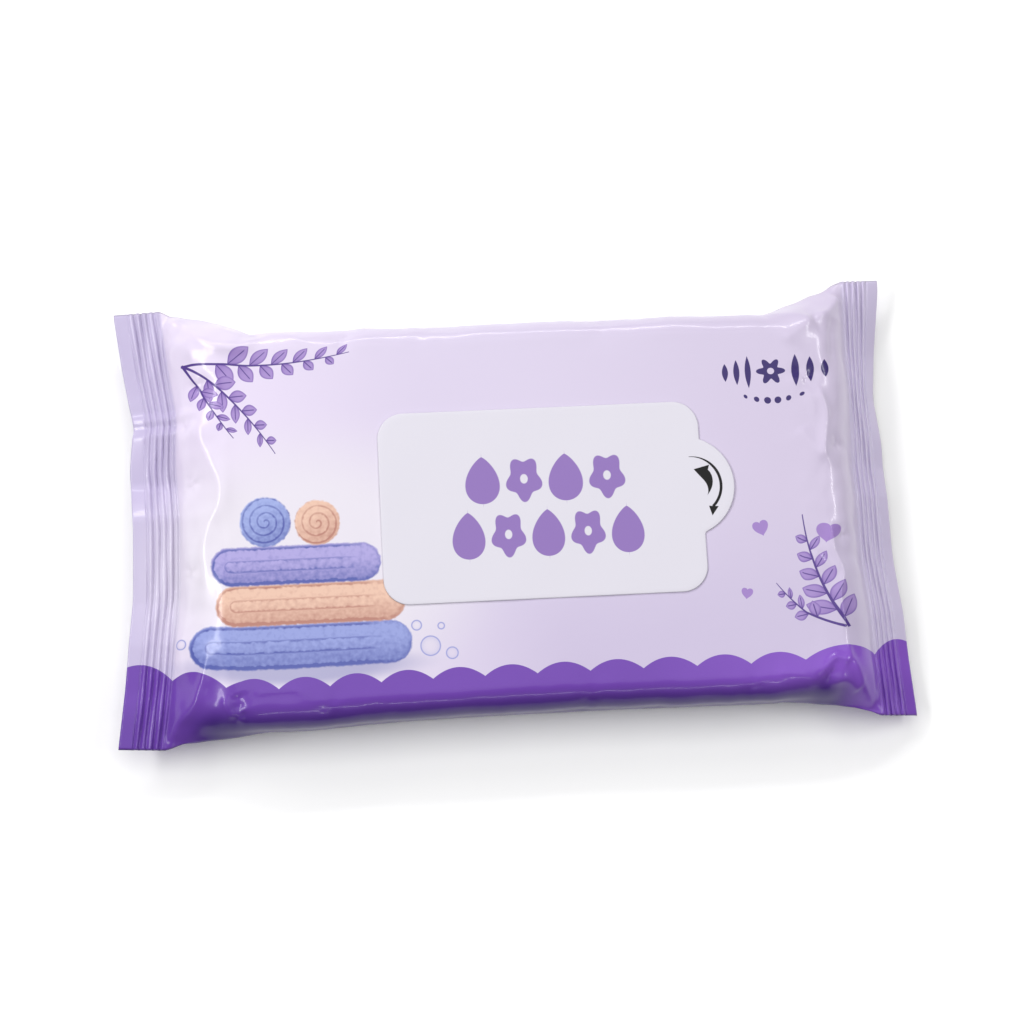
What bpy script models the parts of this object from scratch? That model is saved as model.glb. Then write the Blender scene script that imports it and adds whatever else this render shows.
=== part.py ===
"""A flow-wrapped pack of wet wipes, lying on its back with the peel-back label on top.

The film is one tube round the stack of wipes. Its long edges join in a fin that is folded flat on
the back, and its ends are crimped shut. The label is a separate self-adhesive sheet on the front.

Metres, +Z up. +X runs along the pack and +Y across it; the label faces +Z. The origin is on the
surface that the pack lies on, under the middle of the pack's bounding box.
"""

import math

import bmesh
import bpy
import numpy as np

MM = 0.001

# The body: the stack of wipes with the film drawn round it.
THICKNESS = 24.0 * MM
BODY_HALF_WIDTH = 62.25 * MM
CORNER_RADIUS = 8.0 * MM  # of the film over the stack's long edges
SHOULDER_MIDDLE = 94.0 * MM  # where the top starts down to an end seal, on the centre line
SHOULDER_SIDE = 76.0 * MM  # and at the long edges, where the outline starts to widen
SHOULDER_POWER = 3  # how late the shoulder bends from one to the other, going out across the pack

# The end seals, where the tube is pressed flat.
SEAL_HALF_LENGTH = 68.5 * MM
SEAL_LINE = 107.0 * MM  # from the middle of the pack to a seal's inner line
SEAL_WIDTH = 14.5 * MM
SEAL_FLARE = {1: 3.2 * MM, -1: 3.9 * MM}  # how far the corners stand out, at +Y and at -Y
SEAL_FLARE_POWER = 2.5  # how late they start to stand out
SEAL_DROOP = {-1: math.radians(5.0), 1: math.radians(38.0)}  # left end, right end
SEAL_WAVE = 1.2 * MM  # the seals aren't quite flat along their length,
SEAL_WAVE_TURNS = 0.41  # but bend through this much of a wave to each side of the centre line,
SEAL_WAVE_START = {-1: -0.7, 1: 0.7}  # which is offset by this angle in radians
PLY = 0.3 * MM  # one film ply, drawn thicker than its real 0.06 mm
CRIMP_START = 1.0 * MM
CRIMP_PITCH = 2.0 * MM
CRIMP_COUNT = 5
CRIMP_DEPTH = 0.35 * MM

# The fin on the back, and the film that it holds a little off the surface.
FIN_FROM, FIN_TO = -1.0 * MM, 10.0 * MM
FIN_STEP = 0.3 * MM
FIN_DEPTH = 0.5 * MM
FIN_DRAPE = 14.0 * MM

# The label.
LABEL_CENTRE = (9.5 * MM, 1.8 * MM)
LABEL_HALF = (50.0 * MM, 30.0 * MM)
LABEL_CORNER = 8.0 * MM
LABEL_THICKNESS = 0.4 * MM  # drawn thicker than its real 0.15 mm
LABEL_GAP = 0.3 * MM  # holds the adhesive
TAB_RADIUS = 15.8 * MM
TAB_REACH = 10.0 * MM  # how far the tab stands out past the label's +X edge
TAB_OFFSET = 3.0 * MM  # how far its centre is from the label's centre line, towards +Y

# How finely the shapes are cut.
ARC_STEPS = 7
FLAT_COLUMNS = (-44.0 * MM, -34.0 * MM, -24.0 * MM, 34.0 * MM, 44.0 * MM)  # besides those at the fin
BODY_LENGTHS = 6
SHOULDER_STEPS = np.array([0.0, 0.12, 0.28, 0.46, 0.64, 0.82, 1.0])
CORNER_STEPS = 6
TAB_STEPS = 16
SMOOTH_BELOW = math.radians(25.0)


def clear_scene():
    for obj in list(bpy.data.objects):
        bpy.data.objects.remove(obj)


def material(name, colour, roughness):
    made = bpy.data.materials.new(name)
    made.use_nodes = True
    shader = made.node_tree.nodes["Principled BSDF"]
    shader.inputs["Base Color"].default_value = (*colour, 1.0)
    shader.inputs["Roughness"].default_value = roughness
    shader.inputs["Metallic"].default_value = 0.0
    return made


def add_object(name, mesh, finish):
    mesh.materials.append(finish)
    mesh.shade_smooth()
    mesh.set_sharp_from_angle(angle=SMOOTH_BELOW)
    obj = bpy.data.objects.new(name, mesh)
    bpy.context.scene.collection.objects.link(obj)
    return obj


# The film's columns are places round the tube, as distances along the front from the fold at -Y.

SIDE_RUN = THICKNESS / 2 - CORNER_RADIUS
QUARTER = CORNER_RADIUS * math.pi / 2
FLAT_HALF = BODY_HALF_WIDTH - CORNER_RADIUS
HALF_GIRTH = 2 * (SIDE_RUN + QUARTER + FLAT_HALF)


def film_columns():
    rounding = [0.0] + [SIDE_RUN + QUARTER * k / ARC_STEPS for k in range(ARC_STEPS + 1)]
    flat = [
        *FLAT_COLUMNS,
        FIN_FROM - FIN_DRAPE,
        FIN_FROM - FIN_STEP,
        FIN_FROM,
        (FIN_FROM + FIN_TO) / 2,
        FIN_TO,
        FIN_TO + FIN_STEP,
        FIN_TO + FIN_DRAPE,
    ]
    middle = [HALF_GIRTH / 2 + y for y in sorted(flat)]
    far_side = [HALF_GIRTH - s for s in reversed(rounding)]
    return np.array(rounding + middle + far_side)


def body_section(s):
    """Y and height above the middle plane, round the rounded box that the film makes of the stack."""
    near = np.minimum(s, HALF_GIRTH - s)
    side = np.where(s < HALF_GIRTH / 2, -1.0, 1.0)
    turn = np.clip((near - SIDE_RUN) / QUARTER, 0.0, 1.0) * math.pi / 2
    inset = CORNER_RADIUS * (1 - np.cos(turn)) + np.maximum(near - SIDE_RUN - QUARTER, 0.0)
    height = np.minimum(near, SIDE_RUN) + CORNER_RADIUS * np.sin(turn)
    return side * (BODY_HALF_WIDTH - inset), height


def film_rings():
    """The tube's cross-sections from -X to +X, each as a front row and a back row of points."""
    s = film_columns()
    share = 2 * s / HALF_GIRTH - 1  # -1 at the fold at -Y, 1 at the fold at +Y
    edge = np.abs(share)
    body_y, body_height = body_section(s)
    seal_y = share * SEAL_HALF_LENGTH
    seal_height = np.where(edge < 1.0, PLY, 0.0)
    shoulder = SHOULDER_MIDDLE - (SHOULDER_MIDDLE - SHOULDER_SIDE) * edge**SHOULDER_POWER
    flare = np.where(share > 0, SEAL_FLARE[1], SEAL_FLARE[-1])
    seal_line = SEAL_LINE + flare * edge**SEAL_FLARE_POWER

    flat_y = s - HALF_GIRTH / 2
    outside = np.maximum(np.maximum(FIN_FROM - flat_y, flat_y - FIN_TO), 0.0)
    lift = FIN_DEPTH * np.clip(1 - outside / FIN_DRAPE, 0.0, 1.0)
    fin = FIN_DEPTH * (outside == 0.0)

    def ring(x, y, middle, height, flattened):
        """flattened is 0 on the body, where the back lies on the surface, and 1 in a seal."""
        front = np.stack([x, y, middle + height], axis=1)
        raised = lift * (1 - flattened) - fin
        back = np.stack([x, y, middle - height + raised], axis=1)
        return front, back

    def end(side):
        """From the body's shoulder out to the cut edge, at one end of the pack."""
        wave = SEAL_WAVE * np.sin(2 * math.pi * SEAL_WAVE_TURNS * share + SEAL_WAVE_START[side])
        rings = []
        for step in SHOULDER_STEPS:
            eased = (step + step * step * (3 - 2 * step)) / 2  # between a straight slope and an S
            x = shoulder + (seal_line - shoulder) * step
            y = body_y + (seal_y - body_y) * step
            height = body_height * (1 - eased) + seal_height * eased
            rings.append(ring(side * x, y, THICKNESS / 2 + wave * eased, height, eased))
        crimps = CRIMP_START + CRIMP_PITCH / 2 * np.arange(2 * CRIMP_COUNT)
        depths = CRIMP_DEPTH * np.resize([1.0, -1.0], 2 * CRIMP_COUNT)
        margin = crimps[-1] + CRIMP_PITCH / 2
        for out, depth in zip([*crimps, margin, SEAL_WIDTH], [*depths, 0.0, 0.0]):
            x = seal_line + out * math.cos(SEAL_DROOP[side])
            middle = THICKNESS / 2 + wave - out * math.sin(SEAL_DROOP[side]) + depth
            rings.append(ring(side * x, seal_y, middle, seal_height, 1.0))
        return rings

    body = [
        ring(shoulder * k, body_y, THICKNESS / 2, body_height, 0.0)
        for k in np.linspace(-1.0, 1.0, BODY_LENGTHS + 1)[1:-1]
    ]
    return end(-1)[::-1] + body + end(1)


def film_mesh():
    rings = film_rings()
    columns = len(rings[0][0])
    loops = [np.concatenate([front, back[-2:0:-1]]) for front, back in rings]
    per_ring = len(loops[0])
    points = np.concatenate(loops)
    points[:, 0] -= (points[:, 0].min() + points[:, 0].max()) / 2

    faces = []
    for i in range(len(loops) - 1):
        for j in range(per_ring):
            a, b = i * per_ring + j, i * per_ring + (j + 1) % per_ring
            faces.append((a, a + per_ring, b + per_ring, b))
    last = (len(loops) - 1) * per_ring
    for j in range(columns - 1):
        strip = [j, j + 1, (per_ring - j - 1) % per_ring, (per_ring - j) % per_ring]
        corners = list(dict.fromkeys(strip))  # the two folds have one point, so a triangle
        faces.append(corners)
        faces.append([last + c for c in reversed(corners)])

    mesh = bpy.data.meshes.new("film_pack")
    mesh.from_pydata(points.tolist(), [], faces)
    mesh.validate()
    return mesh


def arc(centre, radius, start, end, steps):
    """Points on an arc, from one angle in degrees to another."""
    angles = np.radians(np.linspace(start, end, steps + 1))
    return [(centre[0] + radius * math.cos(t), centre[1] + radius * math.sin(t)) for t in angles]


def label_outline():
    """Anticlockwise round the label, from the lower right corner, with the tab on the +X side."""
    half_x, half_y = LABEL_HALF
    inner_x, inner_y = half_x - LABEL_CORNER, half_y - LABEL_CORNER
    tab_centre = (half_x + TAB_REACH - TAB_RADIUS, TAB_OFFSET)
    tab_angle = math.degrees(math.acos((half_x - tab_centre[0]) / TAB_RADIUS))
    return [
        *arc((inner_x, -inner_y), LABEL_CORNER, -90, 0, CORNER_STEPS),
        *arc(tab_centre, TAB_RADIUS, -tab_angle, tab_angle, TAB_STEPS),
        *arc((inner_x, inner_y), LABEL_CORNER, 0, 90, CORNER_STEPS),
        *arc((-inner_x, inner_y), LABEL_CORNER, 90, 180, CORNER_STEPS),
        *arc((-inner_x, -inner_y), LABEL_CORNER, 180, 270, CORNER_STEPS),
    ]


def label_mesh():
    sheet = bmesh.new()
    corners = [sheet.verts.new((x, y, 0.0)) for x, y in label_outline()]
    face = sheet.faces.new(corners)
    raised = bmesh.ops.extrude_face_region(sheet, geom=[face])["geom"]
    top = [item for item in raised if isinstance(item, bmesh.types.BMVert)]
    bmesh.ops.translate(sheet, verts=top, vec=(0.0, 0.0, LABEL_THICKNESS))
    bmesh.ops.recalc_face_normals(sheet, faces=sheet.faces)
    mesh = bpy.data.meshes.new("reseal_label")
    sheet.to_mesh(mesh)
    sheet.free()
    return mesh


def main():
    clear_scene()
    film = material("printed_film", (0.66, 0.58, 0.78), 0.28)
    paper = material("label_film", (0.80, 0.76, 0.86), 0.40)
    add_object("film_pack", film_mesh(), film)
    label = add_object("reseal_label", label_mesh(), paper)
    label.location = (*LABEL_CENTRE, THICKNESS + LABEL_GAP)


main()
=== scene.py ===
import math

import bpy
import numpy as np
from mathutils import Matrix, Vector


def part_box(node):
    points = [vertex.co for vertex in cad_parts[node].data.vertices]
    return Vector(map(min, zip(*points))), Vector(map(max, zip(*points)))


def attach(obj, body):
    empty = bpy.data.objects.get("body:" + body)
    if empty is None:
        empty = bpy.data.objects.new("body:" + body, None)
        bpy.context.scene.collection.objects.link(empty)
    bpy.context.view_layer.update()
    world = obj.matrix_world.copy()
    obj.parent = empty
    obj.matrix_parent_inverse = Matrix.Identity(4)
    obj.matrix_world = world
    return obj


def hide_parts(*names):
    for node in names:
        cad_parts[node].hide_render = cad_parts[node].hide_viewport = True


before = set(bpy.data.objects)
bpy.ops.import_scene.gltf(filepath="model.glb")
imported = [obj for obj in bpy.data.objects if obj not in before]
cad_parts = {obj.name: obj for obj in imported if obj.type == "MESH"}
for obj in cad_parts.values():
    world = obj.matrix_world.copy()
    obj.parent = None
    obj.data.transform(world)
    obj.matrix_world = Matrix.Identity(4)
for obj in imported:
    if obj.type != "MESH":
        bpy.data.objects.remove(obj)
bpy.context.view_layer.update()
scene = bpy.context.scene
mm = 0.001


# helpers: colours, nodes and fields

def linear(hexColour):
    # an sRGB hex colour as linear RGBA
    parts = np.array([int(hexColour[i : i + 2], 16) for i in (1, 3, 5)]) / 255
    straight = np.where(parts <= 0.04045, parts / 12.92, ((parts + 0.055) / 1.055) ** 2.4)
    return (*straight.tolist(), 1.0)


def addNode(tree, kind, inputs=None, **settings):
    # adds one node, sets its options, then links or sets each input by name or number
    made = tree.nodes.new(kind)
    for name, value in settings.items():
        setattr(made, name, value)
    for key, value in (inputs or {}).items():
        if isinstance(value, Field):
            value = value.socket
        if isinstance(value, bpy.types.NodeSocket):
            tree.links.new(value, made.inputs[key])
        else:
            made.inputs[key].default_value = value
    return made


class Field:
    # a number that varies over a surface; arithmetic on it adds Math nodes
    def __init__(self, tree, socket):
        self.tree, self.socket = tree, socket

    def maths(self, operation, *others, clamp=False):
        inputs = dict(enumerate((self, *others)))
        made = addNode(self.tree, "ShaderNodeMath", inputs, operation=operation, use_clamp=clamp)
        return Field(self.tree, made.outputs[0])

    def __add__(self, other):
        return self.maths("ADD", other)

    def __sub__(self, other):
        return self.maths("SUBTRACT", other)

    def __rsub__(self, other):
        return (self * -1.0).maths("ADD", other)

    def __mul__(self, other):
        return self.maths("MULTIPLY", other)

    def __truediv__(self, other):
        return self.maths("DIVIDE", other)

    def __abs__(self):
        return self.maths("ABSOLUTE")

    def __pow__(self, other):
        return self.maths("POWER", other)

    __radd__, __rmul__ = __add__, __mul__

    def low(self, other):
        return self.maths("MINIMUM", other)

    def high(self, other):
        return self.maths("MAXIMUM", other)

    def inside(self, soft=0.12):
        # 1 where the field is above zero, 0 below, with an edge this soft
        return self.maths("MULTIPLY_ADD", 1 / soft, 0.5, clamp=True)

    def ramp(self, start, end):
        # 0 at start, 1 at end, smooth between; start may be the greater
        inputs = {0: self, 1: start, 2: end}
        made = addNode(self.tree, "ShaderNodeMapRange", inputs, interpolation_type="SMOOTHSTEP")
        return Field(self.tree, made.outputs[0])


def mixed(tree, amount, under, over):
    # the under colour, covered by the over colour where amount is 1
    inputs = {0: amount, 6: under, 7: over}
    return addNode(tree, "ShaderNodeMix", inputs, data_type="RGBA").outputs[2]


def newMaterial(name):
    made = bpy.data.materials.new(name)
    made.use_nodes = True
    return made, made.node_tree, made.node_tree.nodes["Principled BSDF"]


def smooth(t):
    # 0 to 1 with level ends: 3t^2 - 2t^3
    t = np.clip(t, 0.0, 1.0)
    return t * t * (3 - 2 * t)


def gridQuads(rows, columns, closed):
    # the quads of a grid of points; closed joins the last column to the first
    i, j = np.meshgrid(np.arange(rows - 1), np.arange(columns - (not closed)), indexing="ij")
    nextJ = (j + 1) % columns
    corners = (i * columns + j, (i + 1) * columns + j, (i + 1) * columns + nextJ, i * columns + nextJ)
    return np.stack(corners, -1).reshape(-1, 4)


def meshObject(name, points, faces, material):
    # points in mm
    mesh = bpy.data.meshes.new(name)
    mesh.from_pydata((points.reshape(-1, 3) * mm).tolist(), [], faces)
    mesh.materials.append(material)
    mesh.shade_smooth()
    made = bpy.data.objects.new(name, mesh)
    scene.collection.objects.link(made)
    return made


# the film pack's shape, in mm

filmLow, filmHigh = (np.array(corner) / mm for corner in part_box("film_pack"))

filmShape = {
    "thickness": filmHigh[2],
    "halfWidth": filmHigh[1] - 6.25,  # of the body; the seals are longer
    "cornerRadius": 8.0,  # along the long edges
    "shoulderMiddle": 88.0,  # where the end slopes start, from the middle
    "shoulderSide": 77.0,
    "shoulderPower": 5.0,  # how squarely the shoulder line turns into the corners
    # by place along the pack, how far the top edge and the bottom edge bow up
    "topEdge": {-104.0: -0.9, -97.0: 0.8, -88.0: 0.6, -82.0: -0.6, -70.0: -1.1, 20.0: -1.2, 78.0: -1.6, 84.0: -2.4,
                92.0: -1.4, 104.0: -0.6, 108.0: 0.0},
    "bottomEdge": {-106.0: 0.4, -97.0: -0.3, -88.0: -0.9, -76.0: -1.4, -66.0: -1.5, -50.0: -0.6, -35.0: 0.0,
                   -10.0: 0.3, 30.0: 0.3, 78.0: -0.3, 90.0: 0.9, 97.0: 0.9, 108.0: 0.3},
    "slopeEarly": 0.25,  # the share of a late slope's fall that comes early
    "slopePower": 6,  # how suddenly the rest falls, next to the seal
    "sealLine": 107.0,
    "sealWidth": 14.5,
    "ply": 0.16,
    "crimpStart": 0.1,
    "crimpPitch": 2.1,
    "crimpCount": 5,
    "crimpDepth": 0.58,
    "finFrom": -1.0,
    "finTo": 10.0,
    "finStep": 0.3,
    "finDepth": 0.5,
    "finDrape": 14.0,
    "middleX": 1.5,  # the seals droop by different amounts, so the body isn't quite in the middle
    "bodyColumns": 141,
    "slopeColumns": 40,
    "crimpColumns": 56,
    "marginColumns": 8,
    "frontRows": 193,
    "backRows": 42,
}

# each end seal: where it ends across the pack at its inner line and at its outer edge, the print's place at its
# inner line, how late its slope falls, and then by place across the pack: how far its inner line sits out, how
# high it sits, and how far it droops in degrees
sealShape = {
    -1: {
        "inner": (-67.9, 70.7),
        "outer": (-66.9, 70.4),
        "printLine": 105.6,
        "late": 0.6,
        "out": {70.0: 2.2, 52.0: 0.2, 35.0: -2.2, 19.0: -1.2, 3.0: -2.4, -20.0: -1.6, -46.0: 1.2, -68.0: 4.2},
        "height": {70.0: 0.8, 45.0: -0.9, 38.5: -0.9, 36.0: 1.0, 34.0: 0.2, 31.0: 2.1, 16.0: -2.4, 14.5: -2.4,
                   4.0: 1.2, -6.0: 0.2, -22.0: -0.9, -35.0: 0.6, -50.0: -0.4, -68.0: 0.2},
        "droop": {70.0: 4.0, 40.0: 12.0, 34.0: 20.0, 22.0: 10.0, 8.0: 2.0, -30.0: 4.0, -68.0: 5.0},
    },
    1: {
        "inner": (-68.2, 71.3),
        "outer": (-68.2, 72.9),
        "printLine": 103.1,
        "late": 1.0,
        "out": {70.0: 1.7, 52.0: 1.4, 35.0: 1.5, 6.0: 1.0, -18.0: 1.3, -36.0: 2.6, -49.0: 3.0, -68.0: 3.8},
        "height": {70.0: 1.0, 48.0: -0.4, 36.0: 0.8, 14.5: -1.2, 12.0: -1.3, 2.0: 0.8, -14.0: -0.8, -19.0: -0.7,
                   -35.0: 0.6, -50.0: -0.4, -68.0: 0.0},
        "droop": {70.0: 26.0, 52.0: 38.0, 35.0: 48.0, 20.0: 38.0, 0.0: 36.0, -30.0: 34.0, -68.0: 30.0},
    },
}


def throughPoints(y, table, rounding):
    # straight runs between the table's points, averaged over a width of `rounding` to soften the kinks
    places = np.array(sorted(table))
    values = np.array([table[p] for p in sorted(table)])
    offsets = np.linspace(-0.5, 0.5, 7) * rounding
    return np.mean([np.interp(y + o, places, values) for o in offsets], axis=0)


def filmWidth():
    # the length of film from one long edge to the other: two sides, two quarter turns and the flat
    radius = filmShape["cornerRadius"]
    side = filmShape["thickness"] / 2 - radius
    return 2 * (side + radius * math.pi / 2 + filmShape["halfWidth"] - radius)


def bodySection(s):
    # a rounded box: up the side, a quarter turn, then flat to the middle; s runs along the film from the edge
    radius = filmShape["cornerRadius"]
    side = filmShape["thickness"] / 2 - radius
    quarter = radius * math.pi / 2
    near = np.minimum(s, filmWidth() - s)
    turn = np.clip((near - side) / quarter, 0, 1) * math.pi / 2
    inset = radius * (1 - np.cos(turn)) + np.maximum(near - side - quarter, 0)
    height = np.minimum(near, side) + radius * np.sin(turn)
    return np.sign(s - filmWidth() / 2) * (filmShape["halfWidth"] - inset), height


def stations():
    # one column for each place along the pack: which end, share of the body, share of the slope, and mm out on
    # the seal
    shape = filmShape
    crimpEnd = shape["crimpStart"] + shape["crimpPitch"] * shape["crimpCount"]
    crimps = np.linspace(0, crimpEnd, shape["crimpColumns"])[1:]
    margin = np.linspace(crimpEnd, shape["sealWidth"], shape["marginColumns"])[1:]
    out = np.concatenate([crimps, margin])
    slope = np.linspace(0, 1, shape["slopeColumns"])[1:]
    body = np.linspace(-1, 1, shape["bodyColumns"])
    ends = len(out) + len(slope)
    side = np.concatenate([-np.ones(ends), np.where(body < 0, -1, 1), np.ones(ends)])
    share = np.concatenate([-np.ones(ends), body, np.ones(ends)])
    fall = np.concatenate([np.ones(len(out)), slope[::-1], np.zeros(len(body)), slope, np.ones(len(out))])
    outs = np.concatenate([out[::-1], np.zeros(len(slope) * 2 + len(body)), out])
    return side, share, fall, outs


def girthRows():
    # places round the tube: 0 at the middle of the front, positive towards +Y, out to the fin on the back
    shape = filmShape
    half = filmWidth() / 2
    seam = (shape["finFrom"] + shape["finTo"]) / 2
    up = 2 * half - np.array([shape["finTo"] + shape["finStep"], shape["finTo"]])
    down = -2 * half - np.array([shape["finFrom"] - shape["finStep"], shape["finFrom"]])
    front = np.linspace(-half, half, shape["frontRows"])
    backUp = np.concatenate([np.linspace(half, up[0], shape["backRows"])[1:], up[1:]])
    backDown = np.concatenate([np.linspace(-half, down[0], shape["backRows"])[1:], down[1:]])
    return np.concatenate([[-2 * half - seam], backDown[::-1], front, backUp])


def filmSurface():
    # the film without its creases: a rounded box whose two plies close together at each end, then a crimped seal
    shape = filmShape
    side, share, fall, out = (a[:, None] for a in stations())
    girth = girthRows()[None, :]
    half = filmWidth() / 2
    isFront = np.abs(girth) <= half + 1e-9
    s = np.where(isFront, girth + half, np.where(girth > 0, 3 * half - girth, -girth - half))
    across = s / half - 1
    edge = np.abs(across)

    bodyY, bodyHeight = bodySection(s)
    values = {}
    for name, rounding in (("out", 5.0), ("height", 1.2), ("droop", 5.0)):
        ends = []
        for end in (-1, 1):
            reach = out / shape["sealWidth"]
            corners = zip(sealShape[end]["inner"], sealShape[end]["outer"])
            low, high = ((1 - reach) * a + reach * b for a, b in corners)
            sealY = (low + high) / 2 + across * (high - low) / 2
            ends.append((throughPoints(sealY, sealShape[end][name], rounding), sealY))
        values[name] = np.where(side < 0, ends[0][0], ends[1][0])
        values["y"] = np.where(side < 0, ends[0][1], ends[1][1])
    pulledIn = shape["shoulderMiddle"] - shape["shoulderSide"]
    shoulder = shape["shoulderMiddle"] - pulledIn * edge ** shape["shoulderPower"]
    sealLine = shape["sealLine"] + values["out"]
    droop = np.radians(values["droop"])

    # the slope leaves the body level and meets the seal at an angle, steeper the later it falls
    late = np.where(side < 0, sealShape[-1]["late"], sealShape[1]["late"])
    early = shape["slopeEarly"]
    eased = (1 - late) * smooth(fall) + late * (early * fall**2 + (1 - early) * fall ** shape["slopePower"])
    x = shoulder * share + side * ((sealLine - shoulder) * fall + out * np.cos(droop))
    y = bodyY + (values["y"] - bodyY) * (0.75 * fall + 0.25 * fall**2)
    bow = np.where(across > 0, throughPoints(x, shape["topEdge"], 4.0), throughPoints(x, shape["bottomEdge"], 4.0))
    y = y + bow * smooth((edge - 0.5) / 0.4) * (1 - smooth((fall - 0.8) / 0.2))
    height = bodyHeight * (1 - eased) + np.where(edge < 1, shape["ply"], 0.0) * eased

    # ridges of the crimping jaws: a wave with a lean, uneven along its length, fading at both sides of the row
    ridge = (out - shape["crimpStart"]) / shape["crimpPitch"]
    inCrimps = smooth(ridge / 0.4) * smooth((shape["crimpCount"] - ridge) / 0.4)
    turn = 2 * math.pi * ridge
    uneven = 0.7 + 0.3 * np.sin(values["y"] / 5.3 + 1.9 * np.floor(ridge)) * np.sin(values["y"] / 13.1)
    crimp = shape["crimpDepth"] * inCrimps * uneven * (np.sin(turn) + 0.25 * np.sin(2 * turn + 0.9))
    middle = shape["thickness"] / 2 + values["height"] * eased - out * np.sin(droop) + crimp
    z = middle + np.where(isFront, 1.0, -1.0) * height

    # the back: flattened on what it lies on, with the fin folded down
    past = np.maximum(np.maximum(shape["finFrom"] - (s - half), (s - half) - shape["finTo"]), 0)
    lift = shape["finDepth"] * np.clip(1 - past / shape["finDrape"], 0, 1) * (1 - eased)
    z = z + np.where(isFront, 0.0, lift - shape["finDepth"] * (past < 0.01))
    points = np.stack(np.broadcast_arrays(x + shape["middleX"], y, z), -1)

    # the print's place along the pack, level with x on the body and spread evenly down the slope
    printLine = np.where(side < 0, sealShape[-1]["printLine"], sealShape[1]["printLine"])
    along = shoulder * share + side * ((printLine - shoulder) * fall + out) + shape["middleX"]
    return points, isFront, np.broadcast_to(along, points.shape[:2]), np.broadcast_to(fall, points.shape[:2])


# the creases of the front, x from the film's own middle: a path, a height and a width
creases = [
    # top left: from the seal's corner over the shoulder
    {"path": [(-107, 67.7), (-101, 63.2), (-93.2, 57.0), (-84.5, 55.0), (-76, 56)], "height": 1.7, "width": 2.2},
    {"path": [(-83.3, 56.2), (-75.5, 58.2), (-68.6, 58.2), (-58.5, 54.6)], "height": 0.7, "width": 1.3},
    {"path": [(-105, 60), (-99, 54), (-92, 47), (-88, 41)], "height": 0.5, "width": 3.0},
    # bottom left
    {"path": [(-110.5, -66), (-106, -59.9), (-102, -56.5), (-99.5, -52), (-97.3, -45), (-97, -36)],
     "height": 1.5, "width": 2.0},
    {"path": [(-92, -54), (-90, -58), (-85.4, -62)], "height": 0.8, "width": 1.2},
    {"path": [(-88, -53), (-86.5, -58)], "height": -0.9, "width": 2.2},
    {"path": [(-83, -52.8), (-75.3, -52.4), (-69, -52.7), (-65, -57)], "height": 0.5, "width": 1.3},
    # top right: a star where three folds meet
    {"path": [(107, 66), (103, 60.5), (97, 57)], "height": 1.4, "width": 1.6},
    {"path": [(97, 57), (91, 53), (85, 49)], "height": 0.9, "width": 2.6},
    {"path": [(97, 57), (89, 58.8), (81, 59.4)], "height": 0.6, "width": 1.5},
    {"path": [(104, 58), (102.5, 50), (103, 40)], "height": -0.8, "width": 1.8},
    # bottom right: the pinch
    {"path": [(108, -66), (104.2, -59.1), (102.2, -54.6), (99.9, -49.5), (99.6, -41)],
     "height": 1.5, "width": 1.5},
    {"path": [(103, -60), (98, -57), (92, -58.5)], "height": 1.3, "width": 1.4},
    {"path": [(100, -52), (95.5, -50.5), (92, -53.5), (90.5, -57)], "height": 1.3, "width": 1.4},
    {"path": [(77, -54.4), (84.7, -55.4), (91, -58.4)], "height": 0.7, "width": 1.8},
    # folds down the slopes, where the film leaves the wipes
    {"path": [(-95.5, 36), (-96, 27), (-93, 19), (-90.3, 12), (-91, 6), (-94.5, 0), (-96.4, -8),
              (-96.8, -20), (-97.5, -32)],
     "height": 1.2, "width": 3.0},
    {"path": [(-99.5, 60), (-98, 50), (-97, 43)], "height": 0.5, "width": 2.0},
    {"path": [(96.6, 35), (98.6, 27), (97.6, 20), (97, 13.5), (100.8, 7)], "height": 1.1, "width": 1.4},
    {"path": [(97, -8), (97.4, -17), (100, -24), (98.2, -31), (99, -39), (99.5, -46)],
     "height": 1.2, "width": 1.5},
    {"path": [(90, 40), (94, 32), (95, 22)], "height": 0.6, "width": 2.4},
    {"path": [(90, 22), (94, 15), (98, 12)], "height": 0.5, "width": 2.0},
    {"path": [(91, -17), (95, -22), (99, -25)], "height": 0.5, "width": 2.0},
    # the long shoulders
    {"path": [(-57, 55.6), (-30, 57.3), (10, 56.6), (50, 57.4), (80, 56.8)], "height": 0.3, "width": 1.2},
]

dimples = [
    # (x, y, depth, radius)
    (-97, 44, 0.9, 3.2), (-52, 57, 0.8, 4.0), (93, -55.5, 0.8, 2.6), (-87.5, -59, 0.9, 3.0),
    (-100, 14, 0.6, 3.0), (93, 38, 0.6, 4.5), (-80, 60, 0.7, 3.5), (70, -58, 0.5, 5.0),
    (-60, -58.5, 0.5, 5.0), (20, -59, 0.4, 8.0), (-25, 59, 0.4, 7.0), (30, 58.5, 0.35, 6.0),
    (101.5, 17, 0.6, 2.4), (101, -12, 0.6, 2.6), (-101, -14, 0.5, 3.2), (-101.5, 32, 0.6, 2.8),
]


def curveThrough(points, count=40):
    # a smooth curve through the points (Catmull-Rom)
    p = np.array(points, float)
    p = np.vstack([2 * p[0] - p[1], p, 2 * p[-1] - p[-2]])
    t = np.linspace(0, len(points) - 1 - 1e-6, count)
    k, f = t.astype(int), (t % 1)[:, None]
    a, b, c, d = p[k], p[k + 1], p[k + 2], p[k + 3]
    return 0.5 * (2 * b + (c - a) * f + (2 * a - 5 * b + 4 * c - d) * f**2 + (3 * b - a - 3 * c + d) * f**3)


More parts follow.
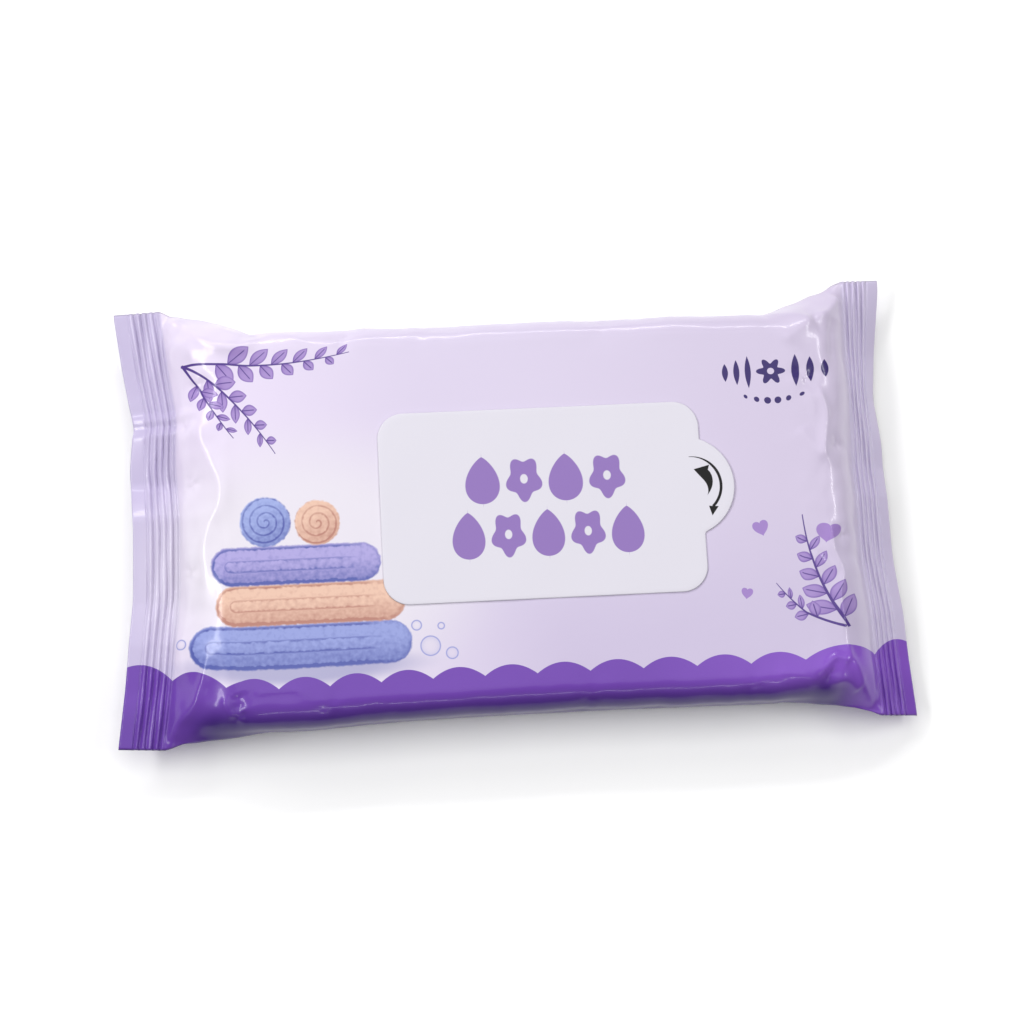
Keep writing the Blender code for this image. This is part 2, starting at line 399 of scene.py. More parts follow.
def distanceTo(path, xy):
    # the distance from each point to a path, and how far along the path the nearest place is, 0 to 1
    best = np.full(len(xy), 1e9)
    where = np.zeros(len(xy))
    for k in range(len(path) - 1):
        a, run = path[k], path[k + 1] - path[k]
        t = np.clip(((xy - a) @ run) / (run @ run), 0, 1)
        gap = np.linalg.norm(xy - a - t[:, None] * run, axis=1)
        closer = gap < best
        best = np.where(closer, gap, best)
        where = np.where(closer, (k + t) / (len(path) - 1), where)
    return best, where


def creaseField(xy):
    # the sum of every crease's and dimple's height, in mm: each crease a ridge that falls off as exp(-gap / width)
    # with a rounded crest, fading at its ends; each dimple a bell with three lobes (0.3464 is the root of 0.12, so
    # that a crest is 1 at its top)
    total = np.zeros(len(xy))
    for crease in creases:
        path = curveThrough(crease["path"])
        reach = crease["width"] * 6
        near = np.all((xy > path.min(0) - reach) & (xy < path.max(0) + reach), axis=1)
        gap, where = distanceTo(path, xy[near])
        fade = smooth(where / 0.15 + 0.25) * smooth((1 - where) / 0.3)
        crest = np.exp(-np.sqrt((gap / crease["width"]) ** 2 + 0.12) + 0.3464) * smooth(6 - gap / crease["width"])
        total[near] += crease["height"] * fade * crest
    for x, y, depth, radius in dimples:
        r = np.hypot(xy[:, 0] - x, xy[:, 1] - y) / radius
        angle = np.arctan2(xy[:, 1] - y, xy[:, 0] - x)
        total -= depth * np.exp(-(r**2)) * (1 + 0.35 * np.cos(3 * angle + x))
    return total


def crumple(xy, seed, scale, count=7):
    # soft facets: the mean of several folded waves, each a triangle wave along its own bent direction
    draw = np.random.default_rng(seed)
    total = np.zeros(len(xy))
    for _ in range(count):
        angle, phase, stretch = draw.uniform(0, np.pi), draw.uniform(0, 1), draw.uniform(0.7, 1.6)
        along = (xy[:, 0] * np.cos(angle) + xy[:, 1] * np.sin(angle)) / (scale * stretch) + phase
        sideways = xy[:, 1] * np.cos(angle) - xy[:, 0] * np.sin(angle)
        bend = 0.35 * np.sin(2 * np.pi * sideways / (3.1 * scale) + 6 * phase)
        wave = np.abs(((along + bend) % 1) - 0.5) * 4 - 1
        total += np.sin(wave * 1.41)
    return total / count


slackFilm = {  # how loose the film is near its edges: heights of the soft facets, in mm
    "broad": 0.08, "broadSlack": 0.75, "broadScale": 22.0,
    "fine": 0.30, "fineScale": 9.0,
    "fromEnd": 16.0, "fromEdge": 15.0,
    "pastShoulder": 7.0, "endSpan": 26.0, "edgeSpan": 16.0, "edgeShare": 0.6,
    "fromFloor": 5.0,  # nothing moves nearer to the floor than this
}


def creasedFilm():
    # moves the smooth film along its own normal by the creases and the soft facets, which grow towards the edges
    points, isFront, along, fall = filmSurface()
    normals = np.cross(np.gradient(points, axis=0), np.gradient(points, axis=1))
    normals /= np.maximum(np.linalg.norm(normals, axis=-1, keepdims=True), 1e-9)
    xy = points[..., :2].reshape(-1, 2) - (filmShape["middleX"], 0)
    endGap = filmShape["shoulderMiddle"] + slackFilm["pastShoulder"] - np.abs(xy[:, 0])
    edgeGap = filmShape["halfWidth"] - np.abs(xy[:, 1])
    slack = smooth((slackFilm["fromEnd"] - endGap) / slackFilm["endSpan"])
    slack += slackFilm["edgeShare"] * smooth((slackFilm["fromEdge"] - edgeGap) / slackFilm["edgeSpan"])
    floorGap = slackFilm["fromFloor"]
    upper = smooth((points[..., 2] - floorGap) / floorGap) * isFront * smooth((1 - fall) / 0.1)
    push = creaseField(xy)
    push += crumple(xy, 4, slackFilm["broadScale"]) * (slackFilm["broad"] + slackFilm["broadSlack"] * slack)
    push += crumple(xy, 9, slackFilm["fineScale"]) * slackFilm["fine"] * slack
    moved = points + (push.reshape(upper.shape) * upper)[..., None] * normals
    moved[..., 2] = np.maximum(moved[..., 2], 0.0)
    return moved, along


def stripBetween(section, front, back, base, flip):
    # triangles between two rows of points with the same ends, walking both rows by their place across
    a, b = 0, 0
    made = []
    while a < len(front) - 1 or b < len(back) - 1:
        backDone = b == len(back) - 1
        stepFront = a < len(front) - 1 and (backDone or section[front[a + 1], 1] <= section[back[b + 1], 1])
        corners = [front[a], front[a + 1], back[b]] if stepFront else [front[a], back[b + 1], back[b]]
        a, b = a + stepFront, b + (not stepFront)
        if len(set(corners)) == 3:
            made.append([int(base + c) for c in (corners[::-1] if flip else corners)])
    return made


def buildFilm(material):
    points, along = creasedFilm()
    rows, columns = points.shape[:2]
    girth = girthRows()
    quads = gridQuads(rows, columns, True)

    # close each cut end with a strip between the two plies
    first = int(np.argmin(np.abs(girth + filmWidth() / 2)))
    front = first + np.arange(filmShape["frontRows"])
    back = np.append((first - np.arange(columns - filmShape["frontRows"] + 1)) % columns, front[-1])
    caps = stripBetween(points[0], front, back, 0, False)
    caps += stripBetween(points[-1], front, back, (rows - 1) * columns, True)
    made = meshObject("film", points, quads.tolist() + caps, material)

    # film coordinates in metres: U along the pack, V round it, unbroken from the fin right round to the fin
    mesh = made.data
    loops = np.zeros(len(mesh.loops), dtype=int)
    mesh.loops.foreach_get("vertex_index", loops)
    uv = np.stack([along.reshape(-1)[loops], girth[loops % columns]], 1)
    corner = np.arange(quads.size)
    atSeam = ((corner // 4) % columns == columns - 1) & (corner % 4 >= 2)
    uv[: quads.size][atSeam, 1] += 2 * filmWidth()
    layer = mesh.uv_layers.new(name="film")
    layer.data.foreach_set("uv", (uv * mm).astype(np.float32).ravel())
    return made


# what is printed on the film, in mm from the middle of its front

inks = {
    "lilacLeftAndPaintedLight": "#ddd2e8",
    "lilacMiddle": "#d1c7de",
    "lilacRight": "#cabfd7",
    "lilacLow": "#c5bad5",
    "sealShadingLeft": "#bfb5d4",
    "sealShadingRight": "#cbc1dd",
    "glow": "#e0dce3",
    "band": "#6d40a8",
    "bandLeft": "#6a40a5",
    "bandRight": "#8150bd",
    "bandUnderShade": "#31106a",
    "leaf": "#a188c4",
    "leafDark": "#6e519f",
    "stem": "#503884",
    "heart": "#9b7dbf",
    "indigo": "#332365",
    "towelLow": "#929cd4",
    "towelMiddle": "#e2bca8",
    "towelHigh": "#a9a0d6",
    "towelRoll": "#9aa7db",
    "shadeBlue": "#535ca4",
    "shadePeach": "#b27d70",
    "bubble": "#9599ce",
}

filmPrint = {
    "scallopPitch": 16.1,
    "scallopFrom": 5.2,  # the place of one cusp
    "scallopStretch": 0.0000177,  # the pitch grows a little towards the right
    "scallopHeight": 3.2,
    "bandTop": -48.0,
    "bandBottom": -92.0,
    "sealArch": 21.0,  # the arch across each seal is wider and taller
    "sealArchHeight": 5.0,
    "sprays": [
        # root, direction in degrees, length, bend, leaf length, and where the first leaf is
        {"root": (-99, 51), "turn": -9, "length": 47, "bend": 0.0040, "leaf": 10.0, "first": 8.0},
        {"root": (-99, 51), "turn": -37, "length": 37, "bend": -0.0050, "leaf": 8.8, "first": 10.0},
        {"root": (-99, 51), "turn": -68, "length": 26, "bend": 0.0050, "leaf": 7.4, "first": 8.0},
        {"root": (98, -42), "turn": 113, "length": 34, "bend": -0.0050, "leaf": 8.6, "first": 4.0},
        {"root": (97, -42), "turn": 150, "length": 20, "bend": -0.0100, "leaf": 6.8, "first": 6.0},
    ],
    "hearts": [(77, -10, 2.5, 14), (95.5, -13, 3.1, -14), (71, -30, 1.8, -10)],
    "towels": [
        # the middle of each, its half length and half thickness, and its two inks
        {"middle": (-66.0, -39.0), "half": (33.5, 6.6), "face": "towelLow", "shade": "shadeBlue"},
        {"middle": (-63.0, -26.2), "half": (29.0, 6.3), "face": "towelMiddle", "shade": "shadePeach"},
        {"middle": (-67.0, -14.0), "half": (26.0, 6.0), "face": "towelHigh", "shade": "shadeBlue"},
    ],
    "rolls": [
        # the middle and radius of each rolled towel seen end on
        {"middle": (-76.0, -0.4), "radius": 7.8, "face": "towelRoll", "shade": "shadeBlue"},
        {"middle": (-60.0, -1.2), "radius": 7.0, "face": "towelMiddle", "shade": "shadePeach"},
    ],
    "terry": 650.0,  # loops about 1.5 mm apart
    "bubbles": [(-27, -41, 3.0), (-20.5, -43.5, 1.8), (-31, -34.5, 1.5), (-23.5, -35, 1.0), (-102, -38, 1.5)],
    "ornament": (83.5, 40.5),
    "bars": ((-14.4, 3.0), (-10.8, 4.2), (-7.2, 5.4), (7.2, 5.4), (10.8, 4.2), (14.4, 3.0)),  # place, half height
}


filmFinish = {
    "roughness": 0.3,
    "ior": 1.5,
    "specular": 0.28,
    "coat": 0.28,
    "coatRoughness": 0.07,
    "ripple": 90.0,  # soft ripples about 11 mm across
    "rippleHeight": 0.0002,  # metres
    "rippleStrength": 0.5,
}


def centreGap(u, v, x, y):
    # the distance from a centre
    a, b = u - x, v - y
    return (a * a + b * b).maths("SQRT")


def leafSpray(u, v, root, turn, length, bend, leaf, first):
    # a bent stem cut into equal cells, one for each leaf, on alternate sides; a leaf is an almond, t(1-t) wide at
    # t along it, leaning out from the stem, and leaves get smaller towards the tip
    pitch, lean, plump = leaf * 0.66, math.radians(47), 1.15
    c, s = math.cos(math.radians(turn)), math.sin(math.radians(turn))
    du, dv = u - root[0], v - root[1]
    a = du * c + dv * s
    b = dv * c - du * s - a * a * bend
    shifted = a + b.maths("LESS_THAN", 0.0) * (pitch / 2)
    cell = (shifted / pitch).maths("FLOOR") * pitch
    local = shifted - cell
    size = (1.0 - cell / (length * 1.7)) * leaf
    t = (local * math.cos(lean) + abs(b) * math.sin(lean)) / size
    w = abs(abs(b) * math.cos(lean) - local * math.sin(lean))
    almond = t * (1.0 - t) * size * plump - w
    reach = (cell - first).inside(0.1) * (length - cell).inside(0.1)
    leaves = almond.inside(0.14) * reach
    vein = (0.14 - w).inside(0.16) * (0.8 - t).inside(0.1) * leaves
    width = 0.4 - a * (0.25 / length)
    stem = (width - abs(b)).inside() * (a + 0.5).inside() * (length + leaf * 0.3 - a).inside()
    dark = almond.ramp(0.75, 0.1) * 0.55 + t.ramp(0.6, 0.0) * 0.45
    return leaves, stem.high(vein), dark


def heart(u, v, x, y, size, turn):
    # inside the curve x^2 + (1.2 y - 0.75 sqrt|x|)^2 = 1
    c, s = math.cos(math.radians(turn)) / size, math.sin(math.radians(turn)) / size
    a = abs((u - x) * c + (v - y) * s)
    b = ((v - y) * c - (u - x) * s) * 1.2 - a.maths("SQRT") * 0.75
    return (1.0 - a * a - b * b).inside(0.12)


def printTowels(tree, u, v, colour, terry):
    # folded towels in a stack with two rolled ones on top, on a soft shadow in a pale glow
    lowest = filmPrint["towels"][0]
    x, y = lowest["middle"]
    glow = centreGap(u, v * 1.25, x + 4, -18.0).ramp(66.0, 26.0) * 0.75
    colour = mixed(tree, glow, colour, linear(inks["glow"]))
    halfLength, halfThickness = lowest["half"]
    shadow = centreGap(u, v * 7.0, x, (y - halfThickness) * 7.0).ramp(halfLength + 12, halfLength - 14)
    colour = mixed(tree, shadow * 0.5, colour, linear(inks["shadeBlue"]))
    for towel in filmPrint["towels"]:
        # a stadium, lit from above, with the edges of its folded layers drawn as nested lines open at one end
        (x, y), (halfX, halfY) = towel["middle"], towel["half"]
        beyond = (abs(u - x) - (halfX - halfY)).high(0.0)
        gap = (beyond * beyond + (v - y) * (v - y)).maths("SQRT") + (terry - 0.5) * 0.9
        light = ((v - y) / halfY).ramp(-1.0, 0.6)
        rim = (gap / halfY).ramp(0.72, 1.0) * 0.35
        layer = abs((gap / halfY * 1.6 + 0.1).maths("FRACT") - 0.5)
        fold = layer.ramp(0.14, 0.02) * (gap - 1.4).inside(0.8) * (x + halfX * 0.7 - u).ramp(-3.0, 6.0)
        shade = ((1.0 - light) * 0.6 + rim + fold * 0.6 + (terry - 0.5) * 0.9).high(0.0).low(1.0)
        cloth = mixed(tree, shade, linear(inks[towel["face"]]), linear(inks[towel["shade"]]))
        colour = mixed(tree, (halfY - gap).inside(0.5), colour, cloth)
    for roll in filmPrint["rolls"]:
        # a disc with a spiral: the layers' edges are where radius / pitch + angle / a whole turn is a whole number
        (x, y), radius = roll["middle"], roll["radius"]
        gap = centreGap(u, v, x, y)
        angle = (v - y).maths("ARCTAN2", u - x)
        layer = abs((gap / 2.3 + angle / (2 * math.pi) + (terry - 0.5) * 0.2).maths("FRACT") - 0.5)
        light = ((v - y) / radius + (x - u) / (radius * 2)).ramp(-1.1, 0.9)
        shade = ((1.0 - light) * 0.55 + layer.ramp(0.2, 0.04) * 0.55 + (terry - 0.5) * 0.9).high(0.0).low(1.0)
        cloth = mixed(tree, shade, linear(inks[roll["face"]]), linear(inks[roll["shade"]]))
        colour = mixed(tree, (radius - gap + (terry - 0.5) * 0.9).inside(0.5), colour, cloth)
    for x, y, radius in filmPrint["bubbles"]:
        gap = centreGap(u, v, x, y)
        skin = (0.2 - abs(gap - radius)).inside() * 0.8 + (radius - gap).inside() * (gap / radius) ** 3.0 * 0.35
        colour = mixed(tree, skin, colour, linear(inks["bubble"]))
    return colour


def printOrnament(tree, u, v, colour):
    # a six-petalled rosette between tapered bars that shorten outwards, over a smile of dots
    x, y = filmPrint["ornament"]
    a, b = u - x, v - y
    radius = (a * a + b * b).maths("SQRT")
    angle = b.maths("ARCTAN2", a)
    ink = ((angle * 6.0).maths("COSINE") * 1.0 + 3.6 - radius).inside() * (radius - 1.1).inside()
    for place, half in filmPrint["bars"]:
        ink = ink.high((0.95 - (b / half) ** 2.0 * 0.95 - abs(a - place)).inside())
    offset = (a / 3.4).maths("FRACT") * 3.4 - 1.7
    drop = b + 9.6 - a * a * 0.022
    fromDot = (offset * offset + drop * drop).maths("SQRT")
    dots = (1.2 - abs(a) * 0.07 - fromDot).inside() * (10.2 - abs(a)).inside()
    return mixed(tree, ink.high(dots), colour, linear(inks["indigo"]))


def printBand(tree, u, v, colour):
    # a row of equal arches with solid colour below them, and one wide arch across each seal; lower down, the
    # colour deepens as painted shade where the film turns under the pack's edge, less so on the seals
    place = u - filmPrint["scallopFrom"]
    count = place / filmPrint["scallopPitch"] - place * place * filmPrint["scallopStretch"]
    turn = count.maths("FRACT") * 2.0 - 1.0
    arches = (1.0 - turn * turn) * filmPrint["scallopHeight"]
    fromMiddle = u - filmShape["middleX"]
    out = (fromMiddle * -1.0 - sealShape[-1]["printLine"]).high(fromMiddle - sealShape[1]["printLine"])
    t = out / filmPrint["sealArch"]
    sealArches = t * (1.0 - t) * 4.0 * filmPrint["sealArchHeight"]
    onSeal = out.inside(0.02)
    line = arches * (1.0 - onSeal) + sealArches * onSeal + (filmPrint["bandTop"] - filmPrint["scallopHeight"])
    rise = fromMiddle.ramp(-84.0, -106.0) * 2.2 + fromMiddle.ramp(84.0, 104.0) * -0.2
    inBand = (line + rise - v).inside() * (v - filmPrint["bandBottom"]).inside()
    # painted shade: darker where the film curves under its bottom edge, much less on the seals
    depth = (filmPrint["bandTop"] - v).ramp(6.0, 16.0) * (1.0 - out.ramp(-14.0, -2.0) * 0.8)
    tone = mixed(tree, u.ramp(-110.0, -10.0), linear(inks["bandLeft"]), linear(inks["band"]))
    tone = mixed(tree, u.ramp(30.0, 100.0), tone, linear(inks["bandRight"]))
    return mixed(tree, inBand, colour, mixed(tree, depth, tone, linear(inks["bandUnderShade"])))


def printedFilm():
    # polypropylene and polyethylene laminate, reverse printed and flow wrapped: flat ink under a clear, glossy
    # skin that pulls into soft ripples, so lights smear a little and break at every crease
    material, tree, shader = newMaterial("printedLaminateFilm")
    place = addNode(tree, "ShaderNodeUVMap", uv_map="film").outputs[0]
    parts = addNode(tree, "ShaderNodeSeparateXYZ", {0: place})
    u = Field(tree, parts.outputs[0]) * 1000.0
    v = Field(tree, parts.outputs[1]) * 1000.0

    # the lilac ground: palest at the left, partly the print's own fade and partly painted light on the left slope;
    # deeper on the seals, a tint painted as the shading of their crimps
    colour = mixed(tree, u.ramp(-10.0, 100.0), linear(inks["lilacMiddle"]), linear(inks["lilacRight"]))
    # painted light: the left end is lightened over the print's fade, where the slope would otherwise shade it
    colour = mixed(tree, u.ramp(-20.0, -95.0), colour, linear(inks["lilacLeftAndPaintedLight"]))
    lower = v.ramp(5.0, -45.0) * u.ramp(-30.0, 20.0)
    colour = mixed(tree, lower, colour, linear(inks["lilacLow"]))
    onLeft = (filmShape["middleX"] - u).ramp(sealShape[-1]["printLine"] - 0.8, sealShape[-1]["printLine"] + 0.2)
    onRight = (u - filmShape["middleX"]).ramp(sealShape[1]["printLine"] - 0.8, sealShape[1]["printLine"] + 0.2)
    # painted shading: the seals' tints stand in for the light and shade of their crimps
    colour = mixed(tree, onLeft, colour, linear(inks["sealShadingLeft"]))
    colour = mixed(tree, onRight, colour, linear(inks["sealShadingRight"]))

    terryNode = addNode(tree, "ShaderNodeTexNoise", {"Vector": place, "Scale": filmPrint["terry"], "Detail": 1.0})
    colour = printTowels(tree, u, v, colour, Field(tree, terryNode.outputs[0]))
    for spray in filmPrint["sprays"]:
        leaves, stem, dark = leafSpray(u, v, **spray)
        colour = mixed(tree, leaves, colour, mixed(tree, dark, linear(inks["leaf"]), linear(inks["leafDark"])))
        colour = mixed(tree, stem, colour, linear(inks["stem"]))
    for spot in filmPrint["hearts"]:
        colour = mixed(tree, heart(u, v, *spot), colour, linear(inks["heart"]))
    colour = printOrnament(tree, u, v, colour)
    colour = printBand(tree, u, v, colour)

    finish = filmFinish
    ripple = addNode(tree, "ShaderNodeTexNoise", {"Vector": place, "Scale": finish["ripple"], "Detail": 2.0})
    relief = {"Distance": finish["rippleHeight"], "Strength": finish["rippleStrength"]}
    bump = addNode(tree, "ShaderNodeBump", {"Height": ripple.outputs[0], **relief})
    tree.links.new(colour, shader.inputs["Base Color"])
    tree.links.new(bump.outputs[0], shader.inputs["Normal"])
    shader.inputs["Roughness"].default_value = finish["roughness"]
    shader.inputs["IOR"].default_value = finish["ior"]
    shader.inputs["Specular IOR Level"].default_value = finish["specular"]
    shader.inputs["Coat Weight"].default_value = finish["coat"]
    shader.inputs["Coat Roughness"].default_value = finish["coatRoughness"]
    return material


# the reseal label, in mm from the middle of its rectangle

labelLow, labelHigh = (np.array(corner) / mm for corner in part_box("reseal_label"))

labelShape = {
    "tabReach": 10.0,  # how far the tab stands out of the rectangle
    "tabRadius": 15.8,
    "tabOffset": 3.0,  # the tab's middle, up from the rectangle's
    "corner": 8.0,
    "lift": 0.14,  # above the film
    "tabLift": 0.35,  # the free tab curls up a little more
    "thickness": 0.42,
    "edge": 0.4,  # the rounded edge
    "outline": 480,
    "rings": 26,
}

labelPrint = {
    "ground": "#d7d4de",
    "ink": "#8d71b3",
    "arrow": "#050406",
    "rows": [
        # each row's height above the middle, place across, pitch, how many, and their half width and half height
        {"y": 7.6, "x": 1.2, "pitch": 12.9, "count": 4, "half": (5.9, 7.4)},
        {"y": -9.6, "x": 1.4, "pitch": 12.3, "count": 5, "half": (5.6, 7.3)},
    ],
    "pivot": (-13.4, 0.0),  # the arrows' centre, from the tab's outermost point
}

labelFinish = {
    "roughness": 0.4,
    "ior": 1.49,
    "specular": 0.3,
    "tooth": 260.0,  # grain about 4 mm across, coarser than the real one so that it shows
    "toothHeight": 0.00005,  # metres
    "toothStrength": 0.5,
}


def labelHalf():
    # half the rectangle's length and width
    size = labelHigh - labelLow
    return (size[0] - labelShape["tabReach"]) / 2, size[1] / 2


def labelMiddle():
    return labelLow[0] + labelHalf()[0], (labelLow[1] + labelHigh[1]) / 2


def labelOutline():
    # the rectangle with rounded corners joined to the tab's circle: the farther of the two along each direction
    halfX, halfY = labelHalf()
    angle = np.linspace(0, 2 * np.pi, labelShape["outline"], endpoint=False)
    direction = np.stack([np.cos(angle), np.sin(angle)], 1)
    low, high = np.zeros(len(angle)), np.full(len(angle), 100.0)
    tabMiddle = np.array([halfX + labelShape["tabReach"] - labelShape["tabRadius"], labelShape["tabOffset"]])
    for _ in range(30):
        # halving: is the place half way between still inside the shape?
        reach = (low + high) / 2
        p = direction * reach[:, None]
        q = np.abs(p) - (halfX - labelShape["corner"], halfY - labelShape["corner"])
        box = np.linalg.norm(np.maximum(q, 0), axis=1) + np.minimum(q.max(1), 0) - labelShape["corner"]
        tab = np.linalg.norm(p - tabMiddle, axis=1) - labelShape["tabRadius"]
        within = np.minimum(box, tab) < 0
        low, high = np.where(within, reach, low), np.where(within, high, reach)
    return direction * low[:, None]


def buildLabel(material):
    # rings from the middle of the underside, out round the rounded edge and back to the middle of the top
    shape = labelShape
    outline = labelOutline()
    reach = np.linalg.norm(outline, axis=1, keepdims=True)
    inner = np.linspace(0, 1, shape["rings"])[1:] ** 0.8
    turn = np.linspace(0, math.pi / 2, 5)[:-1]
    under = [(outline * (1 - shape["edge"] * 0.4 / reach) * t, 0.0) for t in inner]
    rim = [(outline * (1 - shape["edge"] * (1 - math.cos(a)) / reach), math.sin(a)) for a in turn]
    over = [(outline * (1 - shape["edge"] / reach) * t, 1.0) for t in inner[::-1]]
    places = np.stack([xy for xy, _ in under + rim + over])
    share = np.array([h for _, h in under + rim + over])[:, None]
    centre = np.zeros((1, 1, 2))
    places = np.concatenate([centre, places[:, None].reshape(1, -1, 2), centre], axis=1)[0]
    share = np.broadcast_to(share, (len(under + rim + over), shape["outline"])).ravel()
    share = np.concatenate([[0.0], share, [1.0]])

    # the film under it waves slightly; the tab lifts as the square of how far out it is
    x, y = places.T
    wave = 0.05 * np.sin(x / 11 + 0.7) * np.cos(y / 9) + 0.04 * np.sin(x / 5.3 - y / 7.1)
    tab = np.clip((x - labelHalf()[0] + 3) / (shape["tabReach"] + 3), 0, 1) ** 2
    height = filmHigh[2] + shape["lift"] + wave + shape["tabLift"] * tab + share * shape["thickness"]
    middleX, middleY = labelMiddle()
    points = np.stack([x + middleX, y + middleY, height], 1)

    ringCount, around = len(under + rim + over), shape["outline"]
    quads = gridQuads(ringCount, around, True)[:, ::-1] + 1
    k = np.arange(around)
    last = 1 + (ringCount - 1) * around
    bottomFan = np.stack([np.zeros(around, int), (k + 1) % around + 1, k + 1], 1)
    topFan = np.stack([np.full(around, len(points) - 1), last + k, last + (k + 1) % around], 1)
    return meshObject("resealLabel", points, quads.tolist() + bottomFan.tolist() + topFan.tolist(), material)


def insideTriangle(x, y, corners):
    # how far inside a place is: the least of its distances to the three sides, corners taken anticlockwise
    inside = None
    for (x0, y0), (x1, y1) in zip(corners, corners[1:] + corners[:1]):
        reach = math.hypot(x1 - x0, y1 - y0)
        gap = (y - y0) * ((x1 - x0) / reach) - (x - x0) * ((y1 - y0) / reach)
        inside = gap if inside is None else inside.low(gap)
    return inside


def peelArrows(x, y):
    # round a pivot on the tab: a bold arrow that swells from its tail to its head, and a thin one outside it
    radius = (x * x + y * y).maths("SQRT")
    angle = y.maths("ARCTAN2", x)
    swell = angle.ramp(-0.8, 0.7)
    boldArc = (0.8 - angle).inside(0.03) * (angle + 0.8).inside(0.03)
    bold = (swell * 1.7 - 0.1 - abs(radius - 5.7)).inside() * boldArc
    boldHead = insideTriangle(x, y, [(1.0, 5.2), (4.3, 1.2), (5.9, 6.4)]).inside()
    thinWidth = angle.ramp(1.7, 0.4) * 0.36 + 0.08
    thin = (thinWidth - abs(radius - 9.2)).inside() * (angle + 0.82).inside(0.03) * (1.6 - angle).inside(0.03)
    thinHead = insideTriangle(x, y, [(5.0, -6.5), (5.9, -9.6), (8.0, -6.8)]).inside()
    return bold.high(boldHead).high(thin).high(thinHead)


def labelMotifs(x, y):
    # rows of equal cells: plump drops and five-petalled flowers take turns
    motifs = None
    for row in labelPrint["rows"]:
        halfX, halfY = row["half"]
        count = (x - (row["x"] - row["pitch"] * row["count"] / 2)) / row["pitch"]
        cell = count.maths("FLOOR")
        a = (count - cell - 0.5) * row["pitch"] / halfX
        b = (y - row["y"]) / halfY
        isFlower = (cell * 0.5).maths("FRACT").maths("GREATER_THAN", 0.25)
        radius = (a * a + b * b).maths("SQRT")
        angle = b.maths("ARCTAN2", a)
        flower = ((angle * 5.0 - math.pi / 2).maths("COSINE") * -0.13 + 0.86 - radius).low(radius - 0.2)
        t = ((b + 1.0) / 2.0).high(0.0).low(1.0)
        drop = (t * (1.0 - t) ** 1.6).maths("SQRT") * 2.15 - abs(a)
        shape = flower.inside(0.04) * isFlower + drop.inside(0.04) * (1.0 - isFlower)
        inRow = count.inside(0.01) * (row["count"] - count).inside(0.01) * (1.1 - abs(b)).inside()
        motifs = shape * inRow if motifs is None else motifs.high(shape * inRow)
    return motifs


def labelFilm():
    # white polypropylene label stock, die cut, printed in one ink and varnished: satin, with a faint tooth
    material, tree, shader = newMaterial("satinLabelFilm")
    place = addNode(tree, "ShaderNodeTexCoord").outputs["Object"]
    parts = addNode(tree, "ShaderNodeSeparateXYZ", {0: place})
    middleX, middleY = labelMiddle()
    x = Field(tree, parts.outputs[0]) * 1000.0 - middleX
    y = Field(tree, parts.outputs[1]) * 1000.0 - middleY
    colour = mixed(tree, labelMotifs(x, y), linear(labelPrint["ground"]), linear(labelPrint["ink"]))
    pivotX = labelHalf()[0] + labelShape["tabReach"] + labelPrint["pivot"][0]
    pivotY = labelShape["tabOffset"] + labelPrint["pivot"][1]
    colour = mixed(tree, peelArrows(x - pivotX, y - pivotY), colour, linear(labelPrint["arrow"]))
    finish = labelFinish
    tooth = addNode(tree, "ShaderNodeTexNoise", {"Vector": place, "Scale": finish["tooth"], "Detail": 2.0})
    relief = {"Distance": finish["toothHeight"], "Strength": finish["toothStrength"]}
    bump = addNode(tree, "ShaderNodeBump", {"Height": tooth.outputs[0], **relief})
    tree.links.new(colour, shader.inputs["Base Color"])
    tree.links.new(bump.outputs[0], shader.inputs["Normal"])
    shader.inputs["Roughness"].default_value = finish["roughness"]
    shader.inputs["IOR"].default_value = finish["ior"]
    shader.inputs["Specular IOR Level"].default_value = finish["specular"]
    return material


# floor, lights and camera

studio = {
    "floor": "#fdfdfd",
    "world": 0.2,
    "lights": {
        # place in metres, size across and down, radiance; strips round the pack draw the bright lines on its folds
        "overhead": {"place": (0.0, 0.33, 1.85), "size": (1.5, 1.5), "radiance": 1.14},
        "key": {"place": (-0.85, 0.78, 0.85), "size": (0.5, 0.22), "radiance": 9.5},
        "leftStrip": {"place": (-1.05, 0.05, 1.0), "size": (1.1, 0.2), "radiance": 13.0},
        "backStrip": {"place": (-0.1, 1.15, 0.95), "size": (1.2, 0.12), "radiance": 14.0},
        "rightStrip": {"place": (0.95, 0.15, 1.05), "size": (0.9, 0.15), "radiance": 13.0},
        "frontStrip": {"place": (0.1, -1.0, 0.95), "size": (0.9, 0.035), "radiance": 14.0},
    },
}

view = {
    "target": (0.63, 1.38, 12.0),  # mm
    "leanX": -2.87, "leanY": -10.1, "roll": 3.13,  # degrees off straight above
    "distance": 0.729,
    "lens": 81.63,
}


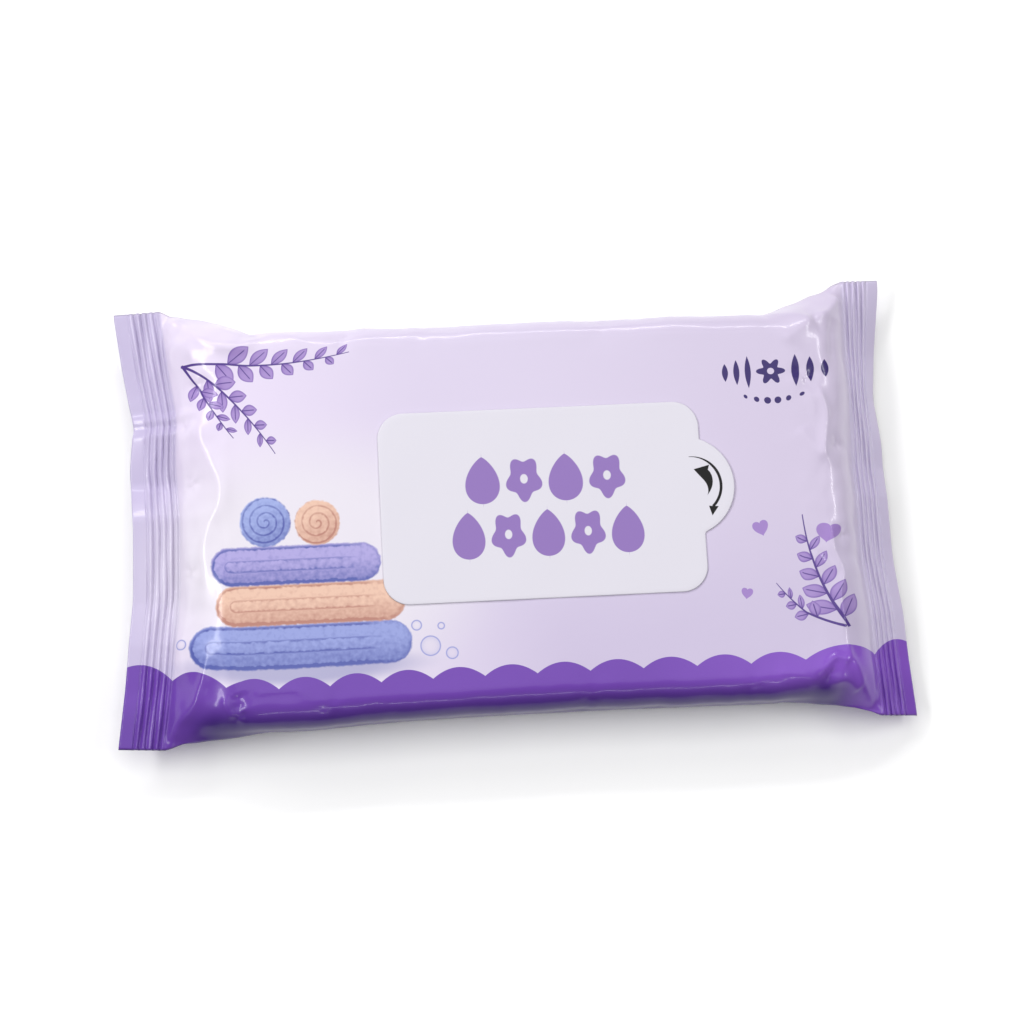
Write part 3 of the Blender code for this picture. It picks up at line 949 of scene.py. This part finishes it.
def addLight(name, place, size, radiance):
    # a rectangle aimed at the pack; its power is radiance times area times pi
    light = bpy.data.lights.new(name, "AREA")
    light.shape = "RECTANGLE"
    light.size, light.size_y = size
    light.energy = radiance * size[0] * size[1] * math.pi
    made = bpy.data.objects.new(name, light)
    made.location = place
    made.rotation_euler = (-Vector(place)).to_track_quat("-Z", "Y").to_euler()
    scene.collection.objects.link(made)


def buildStudio():
    # white card, matt
    material, tree, shader = newMaterial("paleFloor")
    noise = addNode(tree, "ShaderNodeTexNoise", {"Scale": 40.0, "Detail": 3.0})
    tint = mixed(tree, noise.outputs[0], linear("#ffffff"), linear(studio["floor"]))
    tree.links.new(tint, shader.inputs["Base Color"])
    shader.inputs["Roughness"].default_value = 0.9
    shader.inputs["Specular IOR Level"].default_value = 0.1
    corners = np.array([(-3000, -3000, -0.2), (3000, -3000, -0.2), (3000, 3000, -0.2), (-3000, 3000, -0.2)])
    meshObject("floor", corners, [(0, 1, 2, 3)], material)
    for name, settings in studio["lights"].items():
        addLight(name, **settings)
    world = bpy.data.worlds.new("studio")
    world.use_nodes = True
    world.node_tree.nodes["Background"].inputs[0].default_value = (1, 1, 1, 1)
    world.node_tree.nodes["Background"].inputs[1].default_value = studio["world"]
    scene.world = world
    scene.view_settings.view_transform = "Standard"


def buildCamera():
    # looks down on the pack from a little to the front, turned slightly about its own axis
    away = Vector((math.tan(math.radians(view["leanX"])), math.tan(math.radians(view["leanY"])), 1)).normalized()
    side = Vector((0, 1, 0)).cross(away).normalized()
    side = Matrix.Rotation(-math.radians(view["roll"]), 3, away) @ side
    place = Vector(view["target"]) * mm + away * view["distance"]
    camera = bpy.data.objects.new("camera", bpy.data.cameras.new("camera"))
    camera.data.lens = view["lens"]
    camera.data.clip_start = 0.01
    camera.matrix_world = Matrix.Translation(place) @ Matrix((side, away.cross(side), away)).transposed().to_4x4()
    scene.collection.objects.link(camera)
    scene.camera = camera


buildStudio()
buildCamera()
print("studio ready")

film = buildFilm(printedFilm())
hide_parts("film_pack")
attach(film, "root")
print("film built", len(film.data.polygons))

resealLabel = buildLabel(labelFilm())
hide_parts("reseal_label")
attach(resealLabel, "root")
print("label built", len(resealLabel.data.polygons))
